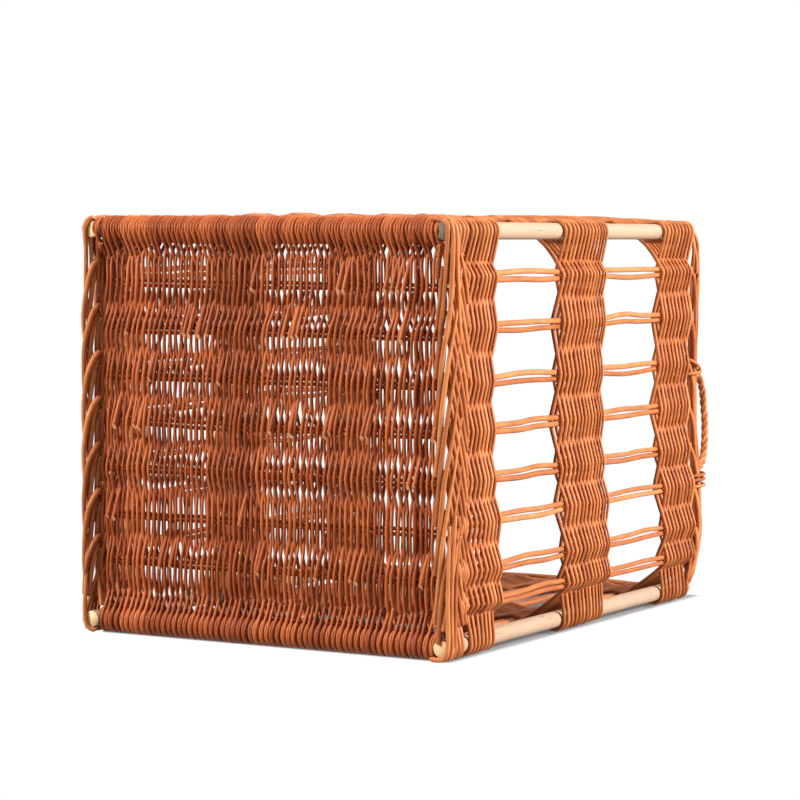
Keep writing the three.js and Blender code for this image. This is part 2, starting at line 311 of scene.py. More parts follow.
# Places from the frame
post_low, post_high = node_box("bottom_left_post")
post_radius = (post_high[0] - post_low[0]) / 2
foot = post_low[1]
post_x = node_centre("bottom_right_post")[0]
low_z = node_centre("bottom_left_post")[2]
high_z = node_centre("top_left_post")[2]
base_y = node_centre("base_top_stick")[1]
base_rows = [float(node_centre(f"base_stakes_{k + 1}")[2]) for k in range(BASE_PAIRS)]
stick_low, stick_high = node_box("base_top_stick")
stick_radius = (stick_high[1] - stick_low[1]) / 2
rim_y = node_box("rim_border")[0][1]
band_span = {band: [node_box(f"right_{band}_band")[end][1] for end in (0, 1)] for band in BANDS}


class Wall:
    """One wall, seen from its first post: the way along it, the way out of it and its rows of stakes."""

    def __init__(self, name, first, second, out):
        self.name = name
        self.start = node_centre(first) * (1, 0, 1)
        end = node_centre(second) * (1, 0, 1)
        self.length = np.linalg.norm(end - self.start)
        self.along = unit(end - self.start)
        self.out = np.array(out, float)
        self.stakes = [f"{name}_stakes_{k + 1}" for k in range(PAIRS[name])]
        rows = sorted(float((node_centre(stake) - self.start) @ self.along) for stake in self.stakes)
        stray = PAIR_STRAY.get(name, [0] * len(rows))
        self.rows = [row + drift for row, drift in zip(rows, stray)]
        self.places = [0, *self.rows, self.length]
        self.standing = [0, *PAIR_OUT[name], 0]

    def point(self, place, out, y):
        """A place along the wall, out of the surface in which its pairs stand and at a depth."""
        risen = min(max((y - foot - STAND_START) / STAND_LENGTH, 0), 1)
        grown = STAND_AT_BASE + (1 - STAND_AT_BASE) * risen
        stand = np.interp(place, self.places, self.standing) * grown
        return self.start + self.along * place + self.out * (out + stand) + (0, y, 0)


walls = [
    Wall("right", "bottom_right_post", "top_right_post", (1, 0, 0)),
    Wall("top", "top_right_post", "top_left_post", (0, 0, 1)),
    Wall("left", "top_left_post", "bottom_left_post", (-1, 0, 0)),
    Wall("bottom", "bottom_left_post", "bottom_right_post", (0, 0, -1)),
]


# Materials
def node(tree, kind, settings=None, **sockets):
    made = tree.nodes.new(kind)
    for key, value in (settings or {}).items():
        setattr(made, key, value)
    for key, value in sockets.items():
        socket = made.inputs[key.replace("_", " ")]
        if isinstance(value, bpy.types.NodeSocket):
            tree.links.new(value, socket)
        else:
            socket.default_value = value
    return made


def new_material(name):
    material = bpy.data.materials.new(name)
    material.use_nodes = True
    tree = material.node_tree
    return material, tree, tree.nodes["Principled BSDF"]


def ramp(tree, factor, stops):
    made = node(tree, "ShaderNodeValToRGB", Fac=factor)
    elements = made.color_ramp.elements
    while len(elements) < len(stops):
        elements.new(0.5)
    for element, (place, colour) in zip(elements, stops):
        element.position = place
        element.color = (*colour, 1)
    return made.outputs["Color"]


def rod_noise(tree, grain, along, across, detail, distortion=0.0):
    """Noise drawn out along the rods: features per metre along and across them."""
    scaled = node(tree, "ShaderNodeMapping", Vector=grain, Scale=(along, across, across))
    made = node(tree, "ShaderNodeTexNoise", Vector=scaled.outputs["Vector"], Scale=1.0, Detail=detail,
                Roughness=0.6, Distortion=distortion)
    return made.outputs["Fac"]


def math_node(tree, operation, first, second):
    made = node(tree, "ShaderNodeMath", {"operation": operation})
    for socket, value in zip(made.inputs, (first, second)):
        if isinstance(value, bpy.types.NodeSocket):
            tree.links.new(value, socket)
        else:
            socket.default_value = value
    return made.outputs["Value"]


def rod_material(name, stops, tint_share, streak_share, roughness, bump):
    """Willow or wood: a tone for each rod, blotches, fibres along it and small dark scars."""
    material, tree, shader = new_material(name)
    grain = node(tree, "ShaderNodeAttribute", {"attribute_name": "grain"}).outputs["Vector"]
    tint = node(tree, "ShaderNodeAttribute", {"attribute_name": "tint"}).outputs["Fac"]
    fibres = rod_noise(tree, grain, along=35, across=1500, detail=4)
    blotches = rod_noise(tree, grain, along=45, across=110, detail=3, distortion=0.4)
    tone = math_node(tree, "MULTIPLY", tint, tint_share)
    tone = math_node(tree, "ADD", tone, math_node(tree, "MULTIPLY", fibres, streak_share))
    rest = 1 - tint_share - streak_share
    tone = math_node(tree, "ADD", tone, math_node(tree, "MULTIPLY", blotches, rest))
    colour = ramp(tree, tone, stops)
    scars = node(tree, "ShaderNodeMapping", Vector=grain, Scale=(22, 260, 260))
    spots = node(tree, "ShaderNodeTexVoronoi", Vector=scars.outputs["Vector"], Scale=1.0)
    scar = ramp(tree, spots.outputs["Distance"], [(0.05, (0.35, 0.3, 0.3)), (0.16, (1, 1, 1))])
    mixed = node(tree, "ShaderNodeMixRGB", {"blend_type": "MULTIPLY"}, Fac=0.75, Color1=colour, Color2=scar)
    tree.links.new(mixed.outputs["Color"], shader.inputs["Base Color"])
    low, high = roughness
    rough = node(tree, "ShaderNodeMapRange", Value=blotches, To_Min=low, To_Max=high)
    tree.links.new(rough.outputs["Result"], shader.inputs["Roughness"])
    shader.inputs["Specular IOR Level"].default_value = 0.22
    relief = node(tree, "ShaderNodeBump", Strength=bump, Distance=0.0006, Height=fibres)
    tree.links.new(relief.outputs["Normal"], shader.inputs["Normal"])
    return material


def cut_material(name, pith, wood, rim):
    """Cut end of a rod: pale wood with darker pores and saw marks."""
    material, tree, shader = new_material(name)
    grain = node(tree, "ShaderNodeAttribute", {"attribute_name": "grain"}).outputs["Vector"]
    marks = rod_noise(tree, grain, along=400, across=900, detail=4, distortion=0.5)
    colour = ramp(tree, marks, [(0.25, pith), (0.5, wood), (0.8, rim)])
    tree.links.new(colour, shader.inputs["Base Color"])
    shader.inputs["Roughness"].default_value = 0.75
    relief = node(tree, "ShaderNodeBump", Strength=0.4, Distance=0.0005, Height=marks)
    tree.links.new(relief.outputs["Normal"], shader.inputs["Normal"])
    return material


WILLOW_STOPS = [
    (0.22, (0.18, 0.039, 0.010)), (0.42, (0.36, 0.099, 0.026)),
    (0.58, (0.50, 0.162, 0.048)), (0.80, (0.66, 0.270, 0.102)),
]
# Painted shade: these factors make the base's willow a darker, browner copy of the walls' willow, standing
# in for the weaker light that falls on the base
BASE_PAINTED_SHADE = np.array((0.89, 0.66, 0.54))
SHADED_BASE_STOPS = [(place, tuple(BASE_PAINTED_SHADE * colour)) for place, colour in WILLOW_STOPS]
PEELED_STOPS = [
    (0.2, (0.295, 0.185, 0.112)), (0.4, (0.39, 0.252, 0.164)),
    (0.6, (0.43, 0.29, 0.192)), (0.85, (0.465, 0.325, 0.23)),
]
BARK = {"tint_share": 0.25, "streak_share": 0.35, "bump": 0.3}
PEELED = {"tint_share": 0.2, "streak_share": 0.5, "bump": 0.2}
# Willow of the base, with painted shade: darker than the walls' willow
shaded_base_look = rod_material("base willow with painted shade", SHADED_BASE_STOPS, roughness=(0.36, 0.54), **BARK)
weave_look = rod_material("woven willow", WILLOW_STOPS, roughness=(0.38, 0.56), **BARK)
rod_look = rod_material("willow rods", WILLOW_STOPS, roughness=(0.38, 0.56), **BARK)
peeled_look = rod_material("peeled wood", PEELED_STOPS, roughness=(0.5, 0.7), **PEELED)
cut_look = cut_material("cut willow", (0.42, 0.15, 0.055), (0.62, 0.27, 0.12), (0.70, 0.35, 0.17))
sawn_look = cut_material("sawn wood", (0.55, 0.34, 0.14), (0.80, 0.55, 0.26), (0.86, 0.66, 0.38))
old_sawn_look = cut_material("old sawn wood", (0.05, 0.035, 0.02), (0.16, 0.105, 0.06), (0.24, 0.17, 0.10))
willow = [weave_look, cut_look]
# Willow of the base with its painted shade, and the cut ends
shaded_base_willow = [shaded_base_look, cut_look]
rods = [rod_look, cut_look]


# Wall weave
uprights = [(wall, k) for wall in walls for k in range(-1, len(wall.rows))]


def turn_points(wall, depth, radius):
    """Round the outside of the post at the start of a wall."""
    before = walls[walls.index(wall) - 1]
    points = []
    for angle in TURN_ANGLES:
        turned = math.radians(angle)
        way = math.cos(turned) * before.out + math.sin(turned) * wall.out
        points.append(wall.start + (post_radius + radius) * way + (0, depth, 0))
    return points


def pair_points(rng, wall, k, side, depth, radius):
    """Over the two rods of a pair, in front of them or behind them."""
    swing = side * (STAKE_RADIUS + radius) * rng.uniform(0.97, 1.08)
    row = wall.rows[k] + rng.normal(0, 0.5)
    return [wall.point(row + shift, swing, depth) for shift in (-PAIR_BEND, PAIR_BEND)]


def band_weave(maker, start, end, count, thick, thin):
    """Weavers that go round and round, outside and inside the uprights in turn, thick ones first."""
    rng = maker.rng
    lap = len(uprights)
    steps = count * lap
    radii = np.linspace(thick, thin, steps + 1)
    depths = start + thick + (end - start - thick - thin) * np.cumsum(radii) / radii.sum()
    stops = [1]
    while stops[-1] + 1.6 * lap < steps:
        stops.append(stops[-1] + 2 * int(LAPS_PER_WEAVER * lap / 2 * rng.uniform(0.85, 1.15)))
    stops.append(steps - 1 - steps % 2)
    for first, last in zip(stops[:-1], stops[1:]):
        points = []
        size = rng.uniform(0.93, 1.07)
        for step in range(first, last + 1):
            wall, k = uprights[step % lap]
            side = -1 if step % 2 else 1
            if k >= 0:
                points += pair_points(rng, wall, k, side, depths[step], radii[step])
            elif side > 0:
                points += turn_points(wall, depths[step], radii[step])
            else:
                inward = -unit(walls[walls.index(wall) - 1].out + wall.out)
                points.append(wall.start + INSIDE_REACH * inward + (0, depths[step], 0))
        path = smooth_path(points, steps=6)
        path[:, 1] += wander(rng, len(path), 0.12 * radii[first], (1, 2, 3, 5, 9))
        taper = np.linspace(radii[first] * 1.05, radii[last] * 0.96, len(path))
        maker.add(path, size * taper * (1 + wander(rng, len(path), 0.03, (2, 5, 9))), (0, 1, 0))


def corner_course(maker, wall, phase, depth, radius):
    """Weaver of a side wall right behind the base: it goes round a post, or is tucked in behind it."""
    index = walls.index(wall)
    before, after = walls[index - 1], walls[(index + 1) % len(walls)]
    rng = maker.rng
    end = wall.start + wall.along * wall.length
    inner = foot + BETWEEN_START + BETWEEN_SHARE * (depth - foot)
    reach = post_radius + radius
    turns = [math.radians(a) for a in CORNER_ANGLES]
    middle = []
    for k in range(len(wall.rows)):
        side = 1 if (k + 1 + phase) % 2 == 0 else -1
        middle += pair_points(rng, wall, k, side, inner + rng.normal(0, 0.3), radius)
    ends = []
    for corner, beyond, inward, place in ((wall.start, before, 1, 0), (end, after, -1, len(wall.rows) + 1)):
        if (place + phase) % 2 == 0:
            bend = [corner + reach * (math.cos(a) * wall.out + math.sin(a) * beyond.out) for a in turns]
        else:
            bend = [corner + inward * wall.along * TUCK_ALONG - wall.out * TUCK_BEHIND]
        ends.append([point + (0, depth, 0) for point in bend])
    path = smooth_path(ends[0] + middle + ends[1][::-1], steps=6)
    maker.add(path, radius * np.linspace(1.05, 0.95, len(path)), (0, 1, 0))


for seed, band in enumerate(BANDS):
    maker = Rods(101 + seed)
    start, end = band_span[band]
    band_weave(maker, start, end, *COURSES[band])
    if band == "lower":
        for wall in (walls[0], walls[2]):
            for k in range(CORNER_COURSES):
                depth = foot + CORNER_START + (start - foot - CORNER_START) * k / CORNER_COURSES
                corner_course(maker, wall, k % 2, depth, CORNER_RADIUS * maker.rng.uniform(0.93, 1.07))
    maker.build(f"{band}_weave", willow, [f"{wall}_{band}_band" for wall in WALLS])

# Wall stakes: pressed together in the bands, apart in the open rows
for seed, wall in enumerate(walls):
    maker = Rods(201 + seed)
    rng = maker.rng
    lower, middle, upper = (band_span[band] for band in BANDS)
    first = foot + STAKE_START if wall.out[0] else lower[0]
    # Stations: a depth, and the share of the full opening there
    stations = [(first, 0), (lower[1] - 22, 0), (lower[1] - 4, 0.15)]
    stations += [(lower[1] * 0.6 + middle[0] * 0.4, 0.9), (lower[1] * 0.3 + middle[0] * 0.7, 0.9)]
    stations += [(middle[0] + 3, 0.3), (sum(middle) / 2, 0), (middle[1] - 3, 0.2)]
    stations += [(middle[1] * 0.6 + upper[0] * 0.4, 0.9), (middle[1] * 0.3 + upper[0] * 0.7, 0.8)]
    stations += [(upper[0] + 3, 0.2), (sum(upper) / 2, 0), (rim_y - 0.5, 0)]
    for row in wall.rows:
        drift = rng.normal(0, 0.7, len(stations))
        opening = OPEN_SPREAD * rng.uniform(0.85, 1.12)
        for member in (-1, 1):
            points = []
            for (y, free), common in zip(stations, drift):
                spread = STAKE_RADIUS + (opening - STAKE_RADIUS) * free
                place = row + member * spread + common * (0.3 + 0.9 * free) + free * rng.normal(0, 0.3)
                points.append(wall.point(place, rng.normal(0, 0.2) + free * rng.normal(0, 0.5), y))
            path = smooth_path(points, steps=4)
            radius = STAKE_RADIUS * rng.uniform(0.94, 1.05) * np.linspace(1.06, 0.94, len(path))
            maker.add(path, radius, wall.out)
    maker.build(f"{wall.name}_stakes", rods, wall.stakes)


# Base weave
def base_wraps(maker):
    """Weavers that run up the base, round the top stick, down and round the bottom stick, and so on."""
    rng = maker.rng
    places = [low_z] + base_rows + [high_z]
    top = len(places) - 1
    pitch = (BASE_SPAN[1] - BASE_SPAN[0]) / BASE_WRAPS
    reach = stick_radius + BASE_WEAVER_RADIUS
    swing = SWING_PLAY * (BASE_STAKE_RADIUS + BASE_WEAVER_RADIUS)
    lean = [quarters * pitch / 4 for quarters in BASE_LEAN]
    points = []

    def leg(x, order, front_even):
        sign = 1 if front_even else -1
        inner_x = min(max(x, -FACE_EDGE), FACE_EDGE)
        for count, j in enumerate(order):
            front = (j % 2 == 0) == front_even
            if 0 < j < top:
                y = base_y + (-swing if front else swing) * rng.uniform(0.92, 1.15)
                points.append((inner_x + rng.normal(0, 0.42), y, places[j] + rng.normal(0, 0.8)))
            if count + 1 < len(order):
                lower = min(j, order[count + 1])
                middle = (places[j] + places[order[count + 1]]) / 2
                there = inner_x + sign * lean[lower] + rng.normal(0, 0.4)
                points.append((there, base_y + rng.normal(0, 0.3), middle + rng.normal(0, 2.2)))

    def turn(x0, x1, z, going):
        for share in np.linspace(0, 1, WRAP_STEPS):
            angle = 2 * math.pi * WRAP_TURNS * share
            x = x0 + (x1 - x0) * share
            y = base_y - going * reach * math.cos(angle)
            if abs(x) > POST_EDGE and y < base_y:
                y -= OVER_POST
            points.append((x, y, z + going * reach * math.sin(angle)))

    upward = list(range(len(places)))
    for k in range(BASE_WRAPS):
        x = BASE_SPAN[0] + (k + 0.5) * pitch + rng.normal(0, 0.4)
        leg(x, upward, True)
        turn(x + TOP_TURN[0] * pitch, x + TOP_TURN[1] * pitch, high_z, 1)
        leg(x, upward[::-1], False)
        if k + 1 < BASE_WRAPS:
            turn(x + BOTTOM_TURN[0] * pitch, x + BOTTOM_TURN[1] * pitch, low_z, -1)
    points.append((x, base_y + reach, low_z))
    return smooth_path(points, steps=4, short=9.0)


maker = Rods(301)
rng = maker.rng
whole = base_wraps(maker)
whole[:, 0] = np.clip(whole[:, 0], *BASE_SPAN)
cuts = np.linspace(0, len(whole) - 1, int(BASE_WRAPS / WRAPS_PER_WEAVER) + 1).astype(int)
for first, last in zip(cuts[:-1], cuts[1:]):
    path = whole[first:last + 1]
    radius = BASE_WEAVER_RADIUS * rng.uniform(0.88, 1.15) * np.linspace(1.15, 0.85, len(path))
    maker.add(path, radius, (1, 0, 0))
for row, places in CUT_ENDS.items():
    z = base_rows[row - 1]
    for x in places:
        butt = rng.uniform(*BUTT_RADII)
        out = base_y - BASE_STAKE_RADIUS - butt - BUTT_GAP
        drop = rng.uniform(*BUTT_DROPS)
        points = [
            (x + 6, base_y + 4, z + 38), (x + 3.5, base_y, z + 24), (x + 1.2, out + 1.2, z + 9),
            (x, out - 0.6, z), (x - 1.2, out - 0.8, z - drop),
        ]
        path = smooth_path(points, steps=5)
        maker.add(path, butt * np.linspace(0.75, 1.0, len(path)), (1, 0, 0), slant=1.3)
maker.build("base_weave_rods", shaded_base_willow, ["base_weave"])

# Base stakes
maker = Rods(311)
rng = maker.rng
left_end, right_end = node_box("base_stakes_1")[0][0], node_box("base_stakes_1")[1][0]
for row in base_rows:
    for member in (-1, 1):
        points = []
        for x in np.linspace(left_end, right_end, 7):
            z = row + member * BASE_STAKE_RADIUS * 1.08 + rng.normal(0, 0.35)
            points.append((x, base_y + rng.normal(0, 0.2), z))
        path = smooth_path(points, steps=5)
        maker.add(path, BASE_STAKE_RADIUS * np.linspace(1.04, 0.94, len(path)), (0, 1, 0))
maker.build("base_stakes", shaded_base_willow, [f"base_stakes_{k + 1}" for k in range(BASE_PAIRS)])

# Base sticks, wholly under the wraps
for seed, (level, z) in enumerate((("bottom", low_z), ("top", high_z))):
    maker = Rods(321 + seed, sides=14)
    path = smooth_path([(x, base_y, z) for x in np.linspace(stick_low[0], stick_high[0], 6)], steps=3)
    maker.add(path, stick_radius, (0, 0, 1), tint=0.5)
    maker.build(f"base_{level}_stick_rods", rods, [f"base_{level}_stick"])

# Base borders: places are out of the post line, behind the post ends and along the edge
LEFT_BORDER = [
    (-1.0, 12.0, 24.0), (0.5, 4.0, 16.0), (3.5, 0.5, 4.0), (7.5, 0.5, -14.0), (10.0, 1.8, -34.0),
    (11.0, 4.5, -58.0), (10.5, 9.0, -80.0), (8.0, 14.0, -98.0),
]
LEFT_INNER = [
    (1.0, 12.0, 18.0), (1.5, 6.0, 8.0), (4.0, 5.0, -12.0), (7.0, 6.0, -34.0), (8.5, 8.0, -58.0),
    (8.0, 13.0, -82.0),
]
LEFT_BACK = [
    (-1.0, 14.0, 10.0), (2.8, 14.0, -10.0), (4.8, 15.0, -34.0), (5.4, 16.0, -58.0), (4.0, 17.0, -82.0),
]
RIGHT_BORDER = [
    (-9.0, 7.0, -34.0), (-5.5, 2.5, -22.0), (-3.0, 0.5, -6.0), (-0.5, 0.0, 20.0), (3.0, 1.0, 50.0),
    (6.5, 4.0, 80.0), (9.0, 8.0, 108.0), (10.0, 12.5, 132.0), (10.0, 16.0, 150.0),
]
RIGHT_UNDER = [
    (10.0, 28.0, -40.0), (10.5, 21.0, -18.0), (10.0, 14.0, 4.0), (8.5, 9.0, 24.0), (6.0, 6.0, 44.0),
    (3.0, 5.0, 62.0),
]
# Rods that turn over the post ends: places are from the post's centre, as above
TOP_RIGHT_TURNS = [
    [(-14, 6, 11.6), (-4, 1, 11), (3.6, -1.4, 7.5), (5.4, -1.8, 0), (4.8, -1.2, -14), (3.2, -0.6, -40),
     (0.5, 0.2, -70), (-2, 1.5, -92)],
    [(-12, 10, 11.8), (-2, 4, 11.8), (6.5, 1, 8.6), (9.4, 0.6, 0), (9.4, 1, -14), (8.2, 1.4, -45),
     (6, 2.5, -75), (3, 4, -100)],
    [(-10, 10, 11.6), (-2, 7, 11.6), (6.5, 5.6, 8.8), (10.4, 5.6, 0), (10.8, 6, -20), (10.6, 9, -60),
     (10.5, 14, -100)],
]
BOTTOM_RIGHT_TURNS = [
    [(6.5, 4, 110), (6.5, 1.5, 75), (7, -0.8, 40), (8.4, -1.6, 12), (8.2, -1.8, 0), (5, -1.5, -7.5),
     (-3, 0, -11.2), (-12, 4, -11.6)],
    [(9.5, 8, 120), (9.4, 4, 80), (9.8, 1.5, 40), (10.6, 1.4, 10), (9.8, 1.4, -3), (6, 1.6, -9.6),
     (-2, 2.5, -11.6), (-10, 6, -11.6)],
    [(10.5, 14, 100), (10.6, 9, 60), (11, 6, 20), (10.2, 5.6, -1), (6, 5.6, -9.2), (-2, 6, -11.6),
     (-10, 9, -11.6)],
]
TOP_LEFT_TURNS = [
    [(-12, 6, 11.6), (-3, 1, 11), (4, -1.5, 7), (5.8, -1.8, -2), (6.2, -0.8, -20), (6.6, 1, -60),
     (8, 6, -90), (8.5, 12, -120)],
    [(-10, 9, 11), (-2, 5, 9), (2.5, 3.5, -2), (2.6, 4, -30), (3.5, 6, -62)],
    [(-6, 9, 2), (-2.5, 7, -10), (-2.5, 8, -35), (-1, 10, -62)],
]
BOTTOM_LEFT_TURNS = [
    [(9, 12, 110), (8, 4, 70), (6.4, -0.4, 30), (6.2, -1.8, 4), (4, -1.5, -7), (-3, 1, -11.2),
     (-12, 6, -11.6)],
]


# Rods reach this far past the post centres, and border rods keep this far inside them
EDGE_PAST = 12
EDGE_CLEAR = 5
# Thick end of the border rods, drop of the left inner rods, and steps of the right under rods
BORDER_RADIUS = 3.1
INNER_DROP = 3
UNDER_SHARES = (0.1, 0.6)


def edge_rod(maker, side, start, shape, thick, thin):
    """Rod of a base border or over a post end. The side is -1 on the left edge and 1 on the right."""
    points = []
    for out, depth, rise in shape:
        z = start + rise + maker.rng.normal(0, 0.6)
        out += maker.rng.normal(0, 0.3)
        points.append((side * (post_x + out), foot + depth, z))
    kept = [point for point in points if low_z - EDGE_PAST < point[2] < high_z + EDGE_PAST]
    if len(kept) > 2:
        path = smooth_path(kept, steps=5)
        maker.add(path, np.linspace(thick, thin, len(path)), (1, 0, 0), slant=0.6)


def inside_posts(shape, start):
    """The part of a border rod between the two posts of its edge."""
    return [place for place in shape if low_z + EDGE_CLEAR < start + place[2] < high_z - EDGE_CLEAR]


maker = Rods(401)
for row in base_rows:
    thick = BORDER_RADIUS * maker.rng.uniform(0.95, 1.06)
    edge_rod(maker, -1, row, inside_posts(LEFT_BORDER, row), thick=thick, thin=1.6)
    inner = row - INNER_DROP
    edge_rod(maker, -1, inner, inside_posts(LEFT_INNER, inner), thick=2.7, thin=1.7)
    edge_rod(maker, -1, row, inside_posts(LEFT_BACK, row), thick=2.9, thin=1.8)
for shape in TOP_LEFT_TURNS:
    edge_rod(maker, -1, high_z, shape, thick=2.3, thin=1.9)
for shape in BOTTOM_LEFT_TURNS:
    edge_rod(maker, -1, low_z, shape, thick=1.7, thin=2.4)
maker.build("base_left_plait", rods, ["base_left_border"])

maker = Rods(402)
pitch = base_rows[1] - base_rows[0]
for k in range(-2, BASE_PAIRS + 1):
    start = base_rows[0] + k * pitch
    thick = BORDER_RADIUS * maker.rng.uniform(0.95, 1.06)
    edge_rod(maker, 1, start, inside_posts(RIGHT_BORDER, start), thick=thick, thin=1.3)
    for share in UNDER_SHARES:
        under = start + pitch * share
        edge_rod(maker, 1, under, inside_posts(RIGHT_UNDER, under), thick=2.3, thin=1.8)
for shape in TOP_RIGHT_TURNS:
    edge_rod(maker, 1, high_z, shape, thick=2.5, thin=2.0)
for shape in BOTTOM_RIGHT_TURNS:
    edge_rod(maker, 1, low_z, shape, thick=1.8, thin=2.5)
maker.build("base_right_plait", rods, ["base_right_border"])

# Posts: their broken edges, the stations between these and the size at all stations
POST_BREAK = 0.7
POST_STATIONS = (-200, -80, 30, 150)
POST_SIZES = (0.94, 1, 1, 0.99, 0.985, 0.98, 0.975, 0.92)
for seed, name in enumerate(("bottom_right_post", "top_right_post", "top_left_post", "bottom_left_post")):
    low, high = node_box(name)
    centre = node_centre(name)
    maker = Rods(501 + seed, sides=24)
    stations = [low[1], low[1] + POST_BREAK, *POST_STATIONS, high[1] - POST_BREAK, high[1]]
    points = [(centre[0], y, centre[2]) for y in stations]
    maker.add(points, post_radius * np.array(POST_SIZES), (0, 0, 1), tint=0.5)
    ends = old_sawn_look if name == "top_right_post" else sawn_look
    maker.build(f"{name}_wood", [peeled_look, ends], [name])

# Rim border: rods round the mouth, and the ends of the stakes bent down along them
RIM_DIP = 15.0
RIM_DIP_WIDTH = 65.0
dip_centre = walls[0].start
# Rods round the mouth: out of the wall and past the rim
RIM_RODS = ((3.0, 8.5), (-3.0, 7.0), (0.4, 3.5))
RIM_RADIUS = 2.3
# Bent end of a stake: uprights along the rim, out of the wall and past the rim
RIM_PATH = [
    (0.02, 0.0, -14.0), (0.0, 1.0, -8.0), (-0.2, 3.2, -2.0), (-0.6, 5.2, 2.0),
    (-1.1, 5.4, 4.5), (-1.7, 4.6, 6.5), (-2.15, 4.2, 6.5),
]
# The two rods of a pair: uprights along the rim and past the rim
BENT_PAIR = ((0.0, 0.0), (0.12, -3.0))
BENT_RADII = (2.5, 1.7)


def rim_point(step, out, rise):
    """A place on the rim, counted in uprights round the mouth. The rim dips at one corner."""
    index = math.floor(step)
    wall, k = uprights[index % len(uprights)]
    row, ahead = wall.places[k + 1], wall.places[k + 2]
    point = wall.point(row + (ahead - row) * (step - index), out, rim_y + rise)
    away = np.hypot(point[0] - dip_centre[0], point[2] - dip_centre[2])
    point[1] -= RIM_DIP * math.exp(-(away / RIM_DIP_WIDTH) ** 2)
    return point


maker = Rods(601)
rng = maker.rng
for out, rise in RIM_RODS:
    points = []
    for k in range(len(uprights)):
        points.append(rim_point(k, out + rng.normal(0, 0.4), rise + rng.normal(0, 0.5)))
    path = smooth_path(points, closed=True, steps=4)
    radius = RIM_RADIUS * (1 + wander(rng, len(path), 0.06, (1, 2, 5)))
    maker.add(path, radius, (0, 1, 0.01), closed=True)
for k, (_, row) in enumerate(uprights):
    if row < 0:
        continue
    for share, lift in BENT_PAIR:
        points = []
        for step, out, rise in RIM_PATH:
            points.append(rim_point(k + step + share, out + rng.normal(0, 0.3), rise + lift))
        path = smooth_path(points, steps=5)
        radius = np.linspace(*BENT_RADII, len(path)) * rng.uniform(0.92, 1.05)
        maker.add(path, radius, (0, 1, 0.01), slant=0.8)
maker.build("rim_rods", rods, ["rim_border"])

# Handles: three rods twisted into a bow, lashed to the rim at both ends
HANDLE_RODS = 3
HANDLE_LAY = 27.0
HANDLE_ROPE_RADIUS = 3.9
HANDLE_STEPS = 110
# Bow: insets of its ends from the node's box, its start out of the wall and past the rim, and its curve
HANDLE_INSETS = (10, 14)
HANDLE_OUT = 2
HANDLE_PAST = 8
HANDLE_RISE = 38.0
HANDLE_LEAN = 4
HANDLE_FULLNESS = 0.75
# Lashings: the way along the rim from the bow's end, and the shift and tilt of each turn there
LOW_LASHING = (-12, ((-6.0, 1.0), (0.5, 0.8), (5.5, 1.0)))
HIGH_LASHING = (6, ((3.0, -8.0), (-3.0, 1.5)))
# Turns: their centre out of the wall and past the rim, half axes in the same order, and the rod's radius
LASHING_CENTRE = (1, 4.0)
LASHING_HALF = (9.0, 13.0)
LASHING_RADIUS = 1.7
for seed, (side, wall, out) in enumerate((("right", walls[0], 1), ("left", walls[2], -1))):
    maker = Rods(701 + seed)
    low, high = node_box(f"{side}_handle")
    ends = (low[2] + HANDLE_INSETS[0], high[2] - HANDLE_INSETS[1])
    middle, half = sum(ends) / 2, (ends[1] - ends[0]) / 2
    sweep = np.linspace(0.02, math.pi - 0.02, HANDLE_STEPS)
    bow = np.sin(sweep) ** HANDLE_FULLNESS
    z = middle - half * np.cos(sweep)
    stand = np.interp(abs(z - wall.start[2]), wall.places, wall.standing)
    x = out * (post_x + stand + HANDLE_OUT - HANDLE_LEAN * bow)
    y = rim_y + HANDLE_PAST + HANDLE_RISE * bow
    line = np.stack([x, y, z], 1)
    step = np.concatenate([[0], np.cumsum(np.linalg.norm(np.diff(line, axis=0), axis=1))])
    run = np.gradient(line, axis=0)
    run /= np.linalg.norm(run, axis=1)[:, None]
    lift = np.cross(run, (1.0, 0, 0))
    lift /= np.linalg.norm(lift, axis=1)[:, None]
    flat = np.cross(lift, run)
    rod = HANDLE_ROPE_RADIUS / (1 + 1 / math.sin(math.pi / HANDLE_RODS))
    orbit = HANDLE_ROPE_RADIUS - rod
    for k in range(HANDLE_RODS):
        angle = 2 * math.pi * (step / HANDLE_LAY + k / HANDLE_RODS)
        path = line + orbit * (np.cos(angle)[:, None] * flat + np.sin(angle)[:, None] * lift)
        maker.add(path, rod * 1.05, (1, 0, 0))
    around = np.linspace(0, 2 * math.pi, 28, endpoint=False)
    for end, (way, turns) in zip(ends, (LOW_LASHING, HIGH_LASHING)):
        lashed = end + way
        stand = np.interp(abs(lashed - wall.start[2]), wall.places, wall.standing)
        for shift, tilt in turns:
            ring = np.stack([
                out * (post_x + stand + LASHING_CENTRE[0]) + LASHING_HALF[0] * np.cos(around),
                rim_y + LASHING_CENTRE[1] + LASHING_HALF[1] * np.sin(around),
                lashed + shift + tilt * np.sin(around),
            ], 1)
            maker.add(ring, LASHING_RADIUS, (0, 0, 1), closed=True)
    maker.build(f"{side}_handle_rope", rods, [f"{side}_handle"])


# Stage, light and camera
def camera_rays(tree):
    path = node(tree, "ShaderNodeLightPath")
    seen = math_node(tree, "MAXIMUM", path.outputs["Is Camera Ray"], path.outputs["Is Glossy Ray"])
    return math_node(tree, "MAXIMUM", seen, path.outputs["Is Transmission Ray"])


# Floor, in metres: half its size, and half the sides of the part that shows the shadow
FLOOR_REACH = 12.0
SHADED_FLOOR = (0.188, 0.276, 0.0)
